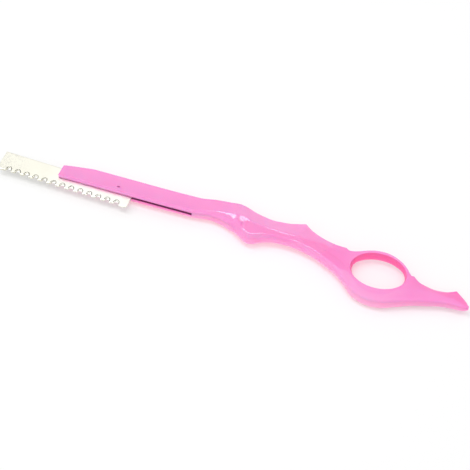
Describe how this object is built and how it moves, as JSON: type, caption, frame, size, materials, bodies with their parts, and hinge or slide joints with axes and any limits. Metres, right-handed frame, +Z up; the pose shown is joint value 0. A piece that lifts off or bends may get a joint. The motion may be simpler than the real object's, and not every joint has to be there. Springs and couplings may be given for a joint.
{
  "type": "hair thinning razor",
  "caption": "Hair thinning razor: a comb-guarded blade slides in the slotted bar of a one-piece handle with a faceted knob, a finger ring and a pointed tail.",
  "frame": {"origin": "middle of the razor's box as it lies on its side with the blade partly out, on the surface it lies on", "axes": "+X along the slide from the blade's outer end to the tail, +Y towards the spine side, away from the comb's teeth, +Z up, square to the flat side of the bar"},
  "size_m": [0.2248, 0.0302, 0.0076],
  "materials": {
    "handle_plastic": "semi-gloss pink moulding",
    "guard_steel": "bright rolled stainless strip",
    "blade_steel": "ground edge"
  },
  "bodies": {
    "handle": {"handle": "handle_plastic"},
    "blade_unit": {"comb_guard": "guard_steel", "razor_blade": "blade_steel"}
  },
  "joints": [
    {"name": "blade_slide", "type": "slide", "parent": "handle", "child": "blade_unit", "axis": [1, 0, 0], "range_m": [-0.035, 0.0287]}
  ]
}
